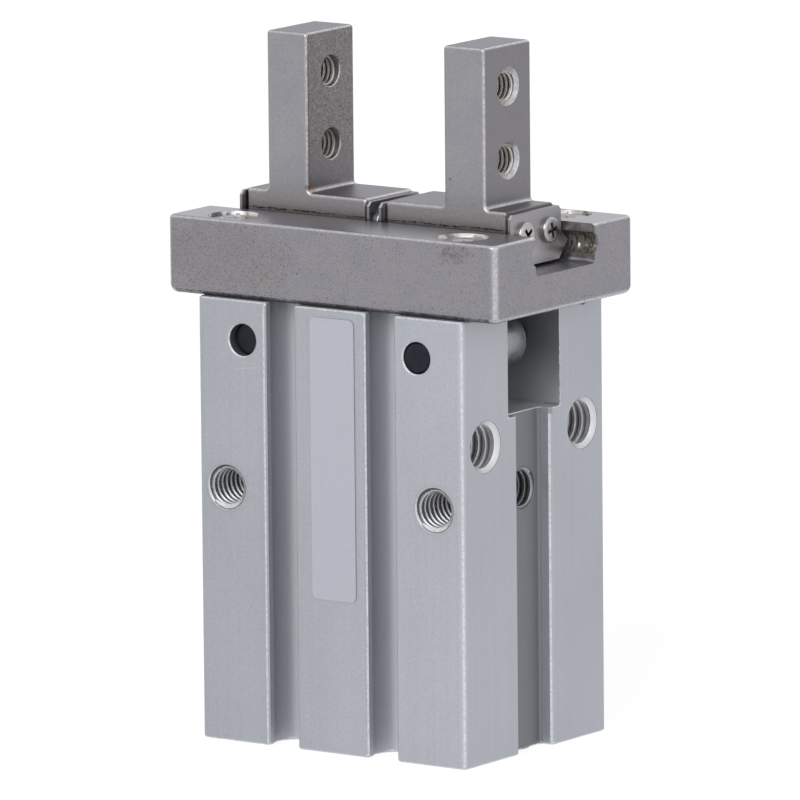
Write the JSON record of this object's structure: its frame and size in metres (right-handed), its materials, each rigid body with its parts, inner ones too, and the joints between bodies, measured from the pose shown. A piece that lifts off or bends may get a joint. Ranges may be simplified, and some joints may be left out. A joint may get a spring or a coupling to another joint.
{
  "type": "pneumatic parallel gripper",
  "caption": "Parallel gripper worked by compressed air: a grooved aluminium body with air ports, a steel guide rail on top and upright fingers that slide apart and together.",
  "frame": {"origin": "centre of the bottom face of the body, on the cylinder's axis", "axes": "+Z towards the finger tips, +X the way the right finger opens and the side with the air ports, -Y the wide face with the blank label"},
  "size_m": [0.038, 0.0237, 0.0673],
  "materials": {
    "anodised_aluminium": "satin hard anodised extrusion, pale grey, edges worn bright",
    "rail_steel": "tumbled stainless steel with fine dark specks, ground top face",
    "finger_steel": "tumbled stainless steel, fine matte grain",
    "stopper_plate_steel": "pressed stainless sheet, matte",
    "nickel_screw_steel": "bright nickel plated screws",
    "black_shaft_steel": "black oxide ground pin",
    "lever_steel": "ground carbon steel, lightly oiled",
    "bearing_steel": "polished bearing steel",
    "piston_aluminium": "turned aluminium, clear anodised",
    "seal_rubber": "black nitrile rubber",
    "magnet_rubber": "dark brown bonded magnet",
    "wear_resin": "pale bearing resin",
    "cap_resin": "black moulded resin",
    "label_film": "blank satin film label"
  },
  "bodies": {
    "housing": {"body": "anodised_aluminium", "guide_rail": "rail_steel", "guide_screws": "nickel_screw_steel", "guide_dowels": "bearing_steel", "rod_seal": "seal_rubber", "end_cap": "cap_resin", "end_cap_gasket": "seal_rubber", "snap_ring": "black_shaft_steel", "lower_bumper": "seal_rubber", "upper_bumper": "seal_rubber", "left_lever_shaft": "black_shaft_steel", "right_lever_shaft": "black_shaft_steel", "blank_label": "label_film"},
    "piston_set": {"piston": "piston_aluminium", "wear_ring": "wear_resin", "piston_seal": "seal_rubber", "magnet_ring": "magnet_rubber"},
    "right_lever_set": {"right_lever": "lever_steel", "right_needle_roller": "bearing_steel"},
    "right_finger_set": {"right_finger": "finger_steel", "right_inner_stopper": "stopper_plate_steel", "right_outer_stopper": "stopper_plate_steel", "right_stopper_screws": "nickel_screw_steel"},
    "right_ball_rows": {"right_balls": "bearing_steel"},
    "left_lever_set": {"left_lever": "lever_steel", "left_needle_roller": "bearing_steel"},
    "left_finger_set": {"left_finger": "finger_steel", "left_inner_stopper": "stopper_plate_steel", "left_outer_stopper": "stopper_plate_steel", "left_stopper_screws": "nickel_screw_steel"},
    "left_ball_rows": {"left_balls": "bearing_steel"}
  },
  "joints": [
    {"name": "piston_slide", "type": "slide", "parent": "housing", "child": "piston_set", "axis": [0, 0, 1], "range_m": [0, 0.0022]},
    {"name": "right_lever_pivot", "type": "hinge", "parent": "housing", "child": "right_lever_set", "pos_m": [0.01005, 0, 0.0388], "axis": [0, 1, 0], "range_deg": [0, 19.19]},
    {"name": "right_finger_slide", "type": "slide", "parent": "housing", "child": "right_finger_set", "axis": [1, 0, 0], "range_m": [0, 0.003]},
    {"name": "right_ball_roll", "type": "slide", "parent": "housing", "child": "right_ball_rows", "axis": [1, 0, 0], "range_m": [0, 0.0015]},
    {"name": "left_lever_pivot", "type": "hinge", "parent": "housing", "child": "left_lever_set", "pos_m": [-0.01005, 0, 0.0388], "axis": [0, -1, 0], "range_deg": [0, 19.19]},
    {"name": "left_finger_slide", "type": "slide", "parent": "housing", "child": "left_finger_set", "axis": [-1, 0, 0], "range_m": [0, 0.003]},
    {"name": "left_ball_roll", "type": "slide", "parent": "housing", "child": "left_ball_rows", "axis": [-1, 0, 0], "range_m": [0, 0.0015]}
  ],
  "couplings": [
    {"joint": "right_lever_pivot", "follows": "piston_slide", "rad_per_m": 152.23},
    {"joint": "right_finger_slide", "follows": "piston_slide", "ratio": 1.3636},
    {"joint": "right_ball_roll", "follows": "piston_slide", "ratio": 0.68182},
    {"joint": "left_lever_pivot", "follows": "piston_slide", "rad_per_m": 152.23},
    {"joint": "left_finger_slide", "follows": "piston_slide", "ratio": 1.3636},
    {"joint": "left_ball_roll", "follows": "piston_slide", "ratio": 0.68182}
  ]
}
